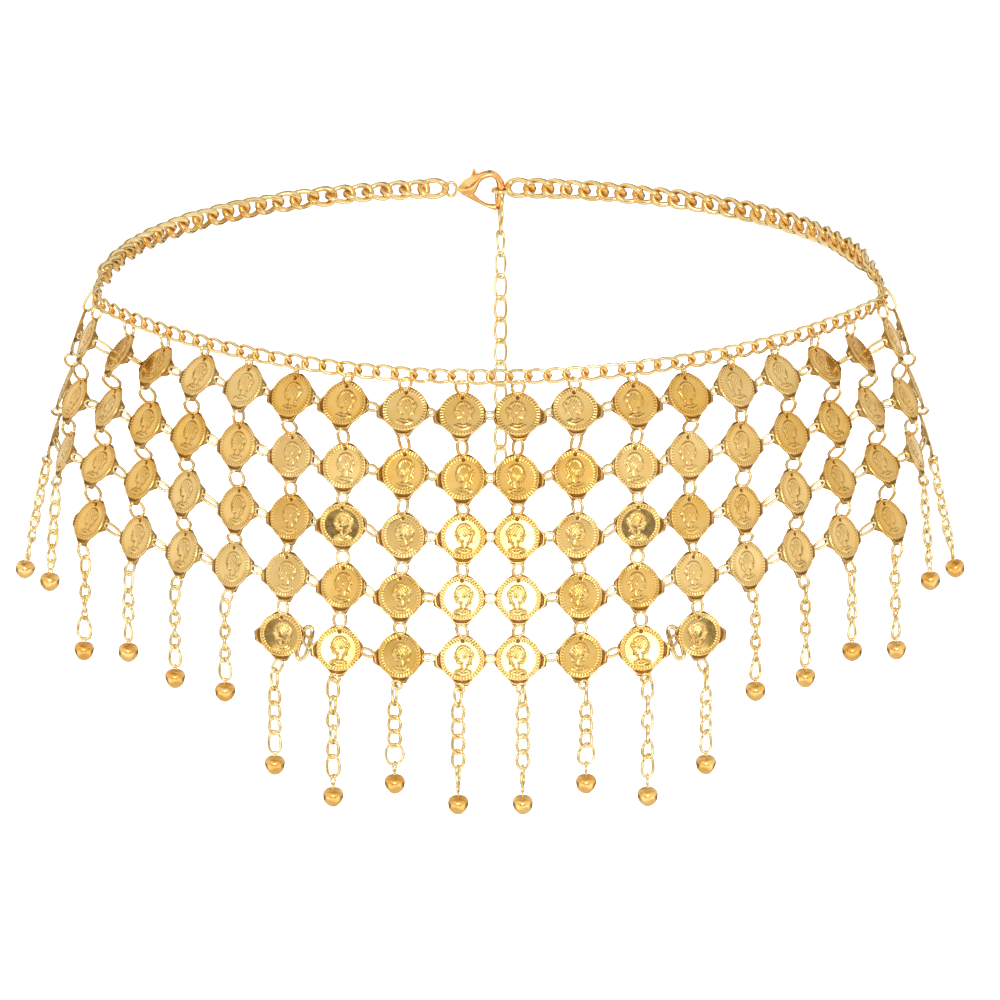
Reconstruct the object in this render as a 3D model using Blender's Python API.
"""Coin hip belt in gold-toned metal, closed and hanging as it does when worn, with no wearer.

A curb chain carries a net of stamped coins round the front of the hips, and every column of
coins ends in a chain drop with a jingle bell. A larger curb chain closes the ring behind, with a
lobster claw, and its spare links hang from the claw as a tail.

The waist ring lies level and its centre is the origin: +X runs to the right, -Y is the front and
+Z is up. Sizes here are in millimetres and degrees, and MM turns them into Blender's metres.
"""

import math

import bpy
import numpy as np
from mathutils import Matrix

MM = 0.001
UP = np.array([0.0, 0.0, 1.0])

# Waist ring, seen from above: the front is a flattened arc and the back a fuller one
HALF_WIDTH = 150.0
FRONT_DEPTH = 87.3
FRONT_POWER = 1.65
BACK_DEPTH = 139.0
BACK_POWER = 0.8
RING_STEPS = 4000
# Half the stretch of ring that a tangent is taken over
TANGENT_REACH = 0.5

# Net of coins
COIN_DIAMETER = 17.2
COIN_THICKNESS = 1.0
CONNECTOR_TURN = 15.0
CORNER_TURN = 45.0
COLUMN_PITCH = 20.8
ROW_PITCH = 22.3
FIRST_ROW_DROP = 13.8
COINS_FROM_CENTRE = (5, 5, 5, 5, 4, 4, 4, 4, 3, 3)
FRONT_LEAN = 10.3
SIDE_LEAN = 14.4
SIDE_STEP = 5.4
SIDE_SAG = 4.5
DROP_FRONT_LEAN = 2.0
DROP_SIDE_LEAN = 13.0
WIRE = 1.1
RING_LENGTH = 5.5
SEAM = 0.3

# Chains
FRONT_LINKS_PER_COLUMN = 3
FRONT_CHAIN_HEIGHT = 5.2
FRONT_CHAIN_DEPTH = 2.0
BACK_LINK_PITCH = 7.6
BACK_CHAIN_HEIGHT = 7.6
BACK_CHAIN_DEPTH = 2.4
FRONT_CHAIN_PIECES = 6
BACK_CHAIN_PIECES = 4
JOINT_SHARE = 0.74
WINDOW_LENGTH_SHARE = 0.68
WINDOW_HEIGHT_SHARE = 0.62

# Drops from the centre out: length from hinge to the middle of the bell, and the links on the way.
# F is a curb link seen flat, E one seen edge-on, T a short twisted link, O a large round ring,
# V a large oval link, D a drop-shaped link and R a small ring.
DROPS_FROM_CENTRE = (
    (45.5, "TFFFFER"),
    (38.5, "EFFFOR"),
    (46.5, "FEFEFVR"),
    (37.5, "EFFFV"),
    (36.0, "TTTTTV"),
    (36.0, "TTTTTV"),
    (31.5, "EFFD"),
    (37.5, "TTTTRO"),
    (39.0, "FEFEFR"),
    (46.0, "TTTTTTTV"),
)
# Length, width along the chain of coins and depth of each kind of link
LINK_SIZES = {
    "F": (5.6, 4.6, 1.8),
    "E": (5.6, 1.8, 4.4),
    "T": (4.4, 3.2, 3.2),
    "O": (7.0, 6.8, 1.5),
    "V": (7.4, 5.2, 1.5),
    "D": (8.0, 4.8, 1.5),
    "R": (3.0, 3.0, 1.4),
}
NECK = 1.4
SHANK_LENGTH = 2.0
BELL_SIDES = 8
# Height above the middle of the bell, and radius
BELL_PROFILE = ((3.2, 2.3), (2.3, 3.4), (-1.2, 3.4), (-3.3, 1.4))

# Clasp, on the ring at the back. Rows run round the claw: outer x, outer z, inner x, inner z
CLAW_DEPTH = 2.6
CLAW_ROWS = (
    (-13.6, -0.2, -13.4, -1.6),
    (-10.7, 3.1, -10.3, -3.5),
    (-8.0, 4.7, -6.5, -2.9),
    (-4.9, 6.2, -4.1, 1.9),
    (-2.0, 7.2, -2.1, 3.6),
    (0.7, 7.5, 0.5, 4.3),
    (3.8, 5.8, 2.1, 3.3),
    (5.8, 2.6, 2.8, 1.2),
    (6.2, -0.6, 3.0, -1.0),
    (6.0, -4.0, 2.9, -3.6),
    (5.2, -7.2, 2.5, -5.6),
    (3.5, -9.2, 1.9, -7.2),
)
# Row after which the thumb tab stands on the outer edge, and the tab's tip
THUMB_TAB = (2, -6.0, 8.2)
LEVER_ROWS = (
    (-9.7, -4.3, -6.3, -3.4),
    (-6.3, -6.6, -5.3, -4.8),
    (-2.0, -8.4, -1.4, -6.5),
    (3.1, -9.6, 1.6, -7.5),
)
SWIVEL_RING_CENTRE = (-16.5, -0.7)
SWIVEL_RING_RADII = (2.6, 3.4)
HOOK_RING_CENTRE = (4.4, -1.2)
HOOK_RING_RADII = (4.0, 3.3)
SMALL_RING_SIDES = 12
LEFT_CHAIN_END = -19.4
RIGHT_CHAIN_END = 8.7

# Tail of spare links, turned edge-on at its top
TAIL_X = 4.4
TAIL_HINGE_Z = -7.3
TAIL_TOP = 2.5
TAIL_LINKS = 12
TAIL_LINK_PITCH = 9.5
TAIL_WIDTH = 5.7
TAIL_DEPTH = 1.6
TAIL_TWIST = 90.0
TAIL_TWISTED_LINKS = 4

# Colours as linear red, green and blue, with roughness
GOLD = ("gold_plated_brass", (0.72, 0.45, 0.12), 0.28)
BELL_GOLD = ("bright_gold_plated_brass", (0.78, 0.52, 0.16), 0.22)
CLAW_GOLD = ("warm_gold_plated_zinc", (0.70, 0.33, 0.06), 0.3)


def unit(vector):
    return vector / np.linalg.norm(vector)


def ring_table():
    """Arc length, x and y of the ring from the middle of the front to the middle of the back."""
    turn = np.linspace(0, math.pi, RING_STEPS + 1)
    ahead = np.cos(turn)
    x = HALF_WIDTH * np.sin(turn)
    front = -FRONT_DEPTH * np.abs(ahead) ** FRONT_POWER
    back = BACK_DEPTH * np.abs(ahead) ** BACK_POWER
    y = np.where(ahead > 0, front, back)
    steps = np.hypot(np.diff(x), np.diff(y))
    return np.concatenate([[0], np.cumsum(steps)]), x, y


RING = ring_table()


def ring_place(along):
    """Point, tangent and outward direction of the ring, along mm to the right of its front middle."""
    arcs, x, y = RING
    side = 1 if along >= 0 else -1
    reach = np.array([-TANGENT_REACH, TANGENT_REACH])
    near = np.clip(abs(along) + reach, 0, arcs[-1])
    point = np.array([side * np.interp(abs(along), arcs, x), np.interp(abs(along), arcs, y), 0.0])
    run = np.diff(np.interp(near, arcs, x))[0], np.diff(np.interp(near, arcs, y))[0]
    tangent = unit(np.array([run[0], side * run[1], 0.0]))
    return point, tangent, np.array([tangent[1], -tangent[0], 0.0])


def back_arc(x):
    """Arc length at which the back half of the ring comes to this x, signed like x."""
    arcs, ring_x, _ = RING
    middle = len(ring_x) // 2
    return math.copysign(np.interp(-abs(x), -ring_x[middle:], arcs[middle:]), x)


def thick_sheet(points, normals, faces, thickness):
    """Vertices and faces of a plate: the sheet moved both ways along its normals, and its edges closed."""
    count = len(points)
    half = thickness / 2 * np.asarray(normals)
    vertices = np.concatenate([points + half, points - half])
    used = {edge for face in faces for edge in zip(face, face[1:] + face[:1])}
    solid = [list(face) for face in faces]
    solid += [[corner + count for corner in reversed(face)] for face in faces]
    solid += [
        [end, start, start + count, end + count]
        for start, end in sorted(used)
        if (end, start) not in used
    ]
    return vertices, solid


def material(name, colour, roughness):
    made = bpy.data.materials.get(name) or bpy.data.materials.new(name)
    made.use_nodes = True
    shader = made.node_tree.nodes["Principled BSDF"]
    shader.inputs["Base Color"].default_value = (*colour, 1)
    shader.inputs["Metallic"].default_value = 1
    shader.inputs["Roughness"].default_value = roughness
    return made


def mesh_of(name, vertices, faces, finish):
    """A mesh from millimetres."""
    mesh = bpy.data.meshes.new(name)
    mesh.from_pydata((np.asarray(vertices) * MM).tolist(), [], faces)
    mesh.materials.append(material(*finish))
    mesh.validate()
    return mesh


def place(name, mesh, parent, point=(0, 0, 0), axes=None):
    """An object of this mesh at a point in mm, turned so that its own axes are the rows of axes."""
    made = bpy.data.objects.new(name, mesh)
    bpy.context.scene.collection.objects.link(made)
    made.parent = parent
    turned = np.eye(4)
    if axes is not None:
        turned[:3, :3] = np.array(axes).T
    turned[:3, 3] = np.asarray(point) * MM
    made.matrix_local = Matrix(turned.tolist())
    return made


def coin_outline():
    """Points round a coin: two or four for the edge on each axis, where rings join it, and one between."""
    radius = COIN_DIAMETER / 2
    half_edge = radius * math.sin(math.radians(CONNECTOR_TURN))
    flat = radius * math.cos(math.radians(CONNECTOR_TURN))
    corner = radius * math.cos(math.radians(CORNER_TURN))
    window = half_edge - WIRE
    side = [(flat, -half_edge), (flat, half_edge), (corner, corner)]
    top = [(half_edge, flat), (window, flat), (-window, flat), (-half_edge, flat), (-corner, corner)]
    half = np.array(side + top)
    return np.concatenate([half, -half])


COIN = coin_outline()
# Slices of the outline: its right, upper, left and lower edges
RIGHT = slice(0, 2)
TOP = slice(3, 7)
LEFT = slice(8, 10)
BOTTOM = slice(11, 15)


class Column:
    """One column of coins: its place on the ring, its lean and the points of its coins."""

    def __init__(self, index):
        half = len(COINS_FROM_CENTRE)
        self.along = (index - half + 0.5) * COLUMN_PITCH
        self.from_centre = int(abs(self.along) // COLUMN_PITCH)
        self.coins = COINS_FROM_CENTRE[self.from_centre]
        share = abs(self.along) / ((half - 0.5) * COLUMN_PITCH)
        self.ring, self.tangent, self.outward = ring_place(self.along)
        self.step = SIDE_STEP * share**4 * self.outward - SIDE_SAG * share**12 * UP
        self.down = self.leaning(FRONT_LEAN + (SIDE_LEAN - FRONT_LEAN) * share**2)
        self.drop_down = self.leaning(DROP_FRONT_LEAN + (DROP_SIDE_LEAN - DROP_FRONT_LEAN) * share**8)
        self.normal = np.cross(self.down, self.tangent)

    def leaning(self, degrees):
        """The way down that leans outwards by this angle."""
        lean = math.radians(degrees)
        return math.sin(lean) * self.outward - math.cos(lean) * UP

    def at(self, drop):
        """The point of the column's middle line this far below the chain."""
        return self.ring + self.step + drop * self.down

    def coin(self, row):
        centre = self.at(FIRST_ROW_DROP + row * ROW_PITCH)
        return centre + COIN[:, :1] * self.tangent - COIN[:, 1:] * self.down

    def hinge(self):
        """The middle of the lowest ring's lower wire."""
        rim = COIN[:, 1].max()
        last = FIRST_ROW_DROP + (self.coins - 1) * ROW_PITCH
        return self.at(last + rim + RING_LENGTH - WIRE / 2)


class Sheet:
    """Points, normals and faces, collected before they become a plate."""

    def __init__(self):
        self.points = []
        self.faces = []

    def add(self, points):
        start = len(self.points)
        self.points += [np.asarray(point) for point in points]
        return list(range(start, len(self.points)))

    def ring(self, edge, ends):
        """A wire ring from four points of a coin's edge to the two far corners, with its window."""
        starts = [np.array(self.points[edge[0]]), np.array(self.points[edge[-1]])]
        runs = [unit(end - start) for start, end in zip(starts, ends)]
        inner = [end - WIRE * run for end, run in zip(ends, runs)]
        share = WIRE / np.linalg.norm(starts[1] - starts[0])
        across = inner[1] - inner[0]
        a, b, c, d = self.add([inner[0], inner[0] + share * across, inner[1] - share * across, inner[1]])
        far = self.add(ends)
        self.faces += [[edge[1], edge[0], a, b], [edge[3], edge[2], c, d], [a, far[0], far[1], d, c, b]]

    def plate(self, normal, thickness):
        points = np.array(self.points)
        return thick_sheet(points, np.tile(normal, (len(points), 1)), self.faces, thickness)


def coin_column(column, neighbour):
    """The coins of one column and the rings between them, up to the chain and across to the next column."""
    sheet = Sheet()
    coins = [sheet.add(column.coin(row)) for row in range(column.coins)]
    sheet.faces += [list(coin) for coin in coins]
    for upper, lower in zip(coins, coins[1:]):
        low = upper[BOTTOM]
        top = lower[TOP][::-1]
        sheet.faces += [[low[1], low[0], top[0], top[1]], [low[3], low[2], top[2], top[3]]]

    half_edge = COIN[TOP][0, 0]
    sides = np.array([half_edge, -half_edge])[:, None] * column.tangent
    under_chain = column.ring - (FRONT_CHAIN_HEIGHT / 2 + SEAM) * UP
    sheet.ring(coins[0][TOP], list(under_chain + sides))
    lowest = column.hinge() + WIRE / 2 * column.down
    sheet.ring(coins[-1][BOTTOM], list(lowest - sides))

    if neighbour:
        for row in range(min(column.coins, neighbour.coins)):
            low, high = coins[row][RIGHT]
            far_high, far_low = neighbour.coin(row)[LEFT]
            ends = [
                far - SEAM * unit(far - sheet.points[near])
                for near, far in ((low, far_low), (high, far_high))
            ]
            sheet.faces.append([high, low, *sheet.add(ends)])
    return sheet.plate(column.normal, COIN_THICKNESS)


def chain_piece(joints, height, depth):
    """A strip of curb links. Each joint is a point, the way the strip faces there and its width upwards.

    A link is wide in its middle, narrow where it meets the next, and has a four-sided window.
    """
    sheet = Sheet()
    normals = []
    ends = []
    for point, facing, across in joints:
        half = height / 2 * JOINT_SHARE * across
        ends.append(sheet.add([point - half, point + half]))
        normals += [facing, facing]
    tips = []
    for index, (start, facing, across) in enumerate(joints[:-1]):
        end, end_facing, end_across = joints[index + 1]
        middle = (start + end) / 2
        reach = (end - start) * WINDOW_LENGTH_SHARE / 2
        across = height / 2 * unit(across + end_across)
        opening = across * WINDOW_HEIGHT_SHARE
        moves = (-reach, reach, -opening, opening, -across, across)
        left, right, lower, upper, low, high = sheet.add([middle + move for move in moves])
        normals += [unit(facing + end_facing)] * len(moves)
        start_low, start_high = ends[index]
        end_low, end_high = ends[index + 1]
        sheet.faces += [
            [start_low, low, lower, left],
            [low, end_low, right, lower],
            [left, upper, high, start_high],
            [upper, right, end_high, high],
        ]
        tips.append((left, right))
    sheet.faces.append([ends[0][0], tips[0][0], ends[0][1]])
    for (low, high), before, after in zip(ends[1:], tips, tips[1:]):
        sheet.faces.append([low, after[0], high, before[1]])
    sheet.faces.append([ends[-1][0], ends[-1][1], tips[-1][1]])
    return thick_sheet(np.array(sheet.points), np.array(normals), sheet.faces, depth)


def ring_joints(arcs):
    """Chain joints at these arc lengths of the ring, with half a seam off each end."""
    arcs = np.array(arcs)
    arcs[[0, -1]] += np.array([SEAM, -SEAM]) / 2
    return [(point, outward, UP) for point, _, outward in map(ring_place, arcs)]


def waist_chain(name, start, end, pitch, pieces, height, depth, parent):
    """A chain along the ring between two arc lengths, in pieces of whole links from left to right."""
    links = round((end - start) / pitch)
    arcs = np.linspace(start, end, links + 1)
    bounds = [round(share * links) for share in np.linspace(0, 1, pieces + 1)]
    for index, (first, last) in enumerate(zip(bounds, bounds[1:])):
        shape = chain_piece(ring_joints(arcs[first : last + 1]), height, depth)
        piece = f"{name}_{index + 1}"
        place(piece, mesh_of(piece, *shape, GOLD), parent)


def drop_shape(length, links):
    """A strand of four-sided links with an eight-sided bell at its end. The hinge is its origin."""
    top = WIRE / 2 + SEAM
    bell_top = length - BELL_PROFILE[0][0]
    share = (bell_top - SHANK_LENGTH - top) / sum(LINK_SIZES[link][0] for link in links)
    neck = (NECK / 2, NECK / 2)
    stations = [(top, *neck)]
    for link in links:
        link_length, width, depth = LINK_SIZES[link]
        start = stations[-1][0]
        stations.append((start + share * link_length / 2, width / 2, depth / 2))
        stations.append((start + share * link_length, *neck))
    stations.append((bell_top, *neck))

    vertices = []
    faces = [[0, 1, 2, 3]]
    for drop, half_width, half_depth in stations:
        vertices += [(half_width, 0, -drop), (0, half_depth, -drop)]
        vertices += [(-half_width, 0, -drop), (0, -half_depth, -drop)]
    faces += bands(0, 4, len(stations))

    strand_end = len(vertices) - 4
    bell = len(vertices)
    for height, radius in BELL_PROFILE:
        for turn in np.linspace(0, 2 * math.pi, BELL_SIDES, endpoint=False):
            vertices.append((radius * math.cos(turn), radius * math.sin(turn), height - length))
    for side in range(4):
        inner = strand_end + side, strand_end + (side + 1) % 4
        outer = [bell + (2 * side + step) % BELL_SIDES for step in range(3)]
        faces.append([inner[0], *outer, inner[1]])
    faces += bands(bell, BELL_SIDES, len(BELL_PROFILE))
    faces.append(list(range(len(vertices) - BELL_SIDES, len(vertices)))[::-1])
    return vertices, faces


def bands(first, sides, rings):
    """Faces between rings of vertices that lie one below another."""
    faces = []
    for ring in range(rings - 1):
        upper = first + ring * sides
        for side in range(sides):
            after = (side + 1) % sides
            faces.append([upper + side, upper + sides + side, upper + sides + after, upper + after])
    return faces


def plate_of_rows(rows, tab=()):
    """A flat plate between two edges, given as rows of x and z for each. It faces -Y."""
    sheet = Sheet()
    first = [sheet.add([(x, 0, z)])[0] for x, z, _, _ in rows]
    second = [sheet.add([(x, 0, z)])[0] for _, _, x, z in rows]
    for index in range(len(rows) - 1):
        sheet.faces.append([second[index], second[index + 1], first[index + 1], first[index]])
    if tab:
        row, tip_x, tip_z = tab
        tip = sheet.add([(tip_x, 0, tip_z)])[0]
        sheet.faces.append([first[row], first[row + 1], tip])
    return sheet.plate((0, -1, 0), CLAW_DEPTH)


def oval_ring(radii, right, up):
    """A flat ring of wire with these outer radii along two directions."""
    turn = np.linspace(0, 2 * math.pi, SMALL_RING_SIDES, endpoint=False)[:, None]
    wire = np.array([WIRE, WIRE])
    outer, inner = [
        np.cos(turn) * size[0] * right + np.sin(turn) * size[1] * up for size in (radii, radii - wire)
    ]
    sheet = Sheet()
    out = sheet.add(outer)
    into = sheet.add(inner)
    for index in range(SMALL_RING_SIDES):
        after = (index + 1) % SMALL_RING_SIDES
        sheet.faces.append([into[index], out[index], out[after], into[after]])
    return sheet.plate(np.cross(right, up), WIRE)


def tail_joints():
    """Joints down the tail below its hinge, with a quarter turn that fades over the first links."""
    joints = []
    for index in range(TAIL_LINKS + 1):
        twist = math.radians(TAIL_TWIST) * max(0, 1 - index / TAIL_TWISTED_LINKS)
        facing = np.array([-math.sin(twist), -math.cos(twist), 0.0])
        drop = TAIL_TOP + index * TAIL_LINK_PITCH
        joints.append((-drop * UP, facing, np.cross(facing, -UP)))
    return joints


def build_net(parent):
    columns = [Column(index) for index in range(2 * len(COINS_FROM_CENTRE))]
    drops = {}
    for index, column in enumerate(columns):
        neighbour = columns[index + 1] if index + 1 < len(columns) else None
        name = f"coin_column_{index + 1:02d}"
        place(name, mesh_of(name, *coin_column(column, neighbour), GOLD), parent)
        kind = column.from_centre
        if kind not in drops:
            drops[kind] = mesh_of(f"drop_{kind + 1}", *drop_shape(*DROPS_FROM_CENTRE[kind]), BELL_GOLD)
        axes = column.tangent, np.cross(column.tangent, column.drop_down), -column.drop_down
        place(f"drop_{index + 1:02d}", drops[kind], parent, column.hinge(), axes)


def build_waist(parent):
    link = COLUMN_PITCH / FRONT_LINKS_PER_COLUMN
    half = len(COINS_FROM_CENTRE) * COLUMN_PITCH
    front = link, FRONT_CHAIN_PIECES, FRONT_CHAIN_HEIGHT, FRONT_CHAIN_DEPTH, parent
    waist_chain("front_chain", -half, half, *front)
    back = BACK_LINK_PITCH, BACK_CHAIN_PIECES, BACK_CHAIN_HEIGHT, BACK_CHAIN_DEPTH, parent
    waist_chain("back_chain_left", back_arc(LEFT_CHAIN_END), -half, *back)
    waist_chain("back_chain_right", half, back_arc(RIGHT_CHAIN_END), *back)


def build_clasp(parent):
    x, y, z = np.eye(3)
    back = BACK_DEPTH * y
    claw = plate_of_rows(CLAW_ROWS, THUMB_TAB)
    place("claw", mesh_of("claw", *claw, CLAW_GOLD), parent, back)
    lever = plate_of_rows([row[2:] + row[:2] for row in LEVER_ROWS])
    place("claw_lever", mesh_of("claw_lever", *lever, CLAW_GOLD), parent, back)
    rings = (
        ("swivel_ring", SWIVEL_RING_CENTRE, SWIVEL_RING_RADII, z),
        ("hook_ring", HOOK_RING_CENTRE, HOOK_RING_RADII, y),
    )
    for name, (centre_x, height), radii, up in rings:
        shape = oval_ring(np.array(radii), x, up)
        place(name, mesh_of(name, *shape, GOLD), parent, back + centre_x * x + height * z)
    tail = chain_piece(tail_joints(), TAIL_WIDTH, TAIL_DEPTH)
    place("tail_chain", mesh_of("tail_chain", *tail, GOLD), parent, back + TAIL_X * x + TAIL_HINGE_Z * z)


def main():
    for found in list(bpy.data.objects):
        bpy.data.objects.remove(found, do_unlink=True)
    belt = bpy.data.objects.new("coin_hip_belt", None)
    bpy.context.scene.collection.objects.link(belt)
    build_waist(belt)
    build_clasp(belt)
    build_net(belt)


main()
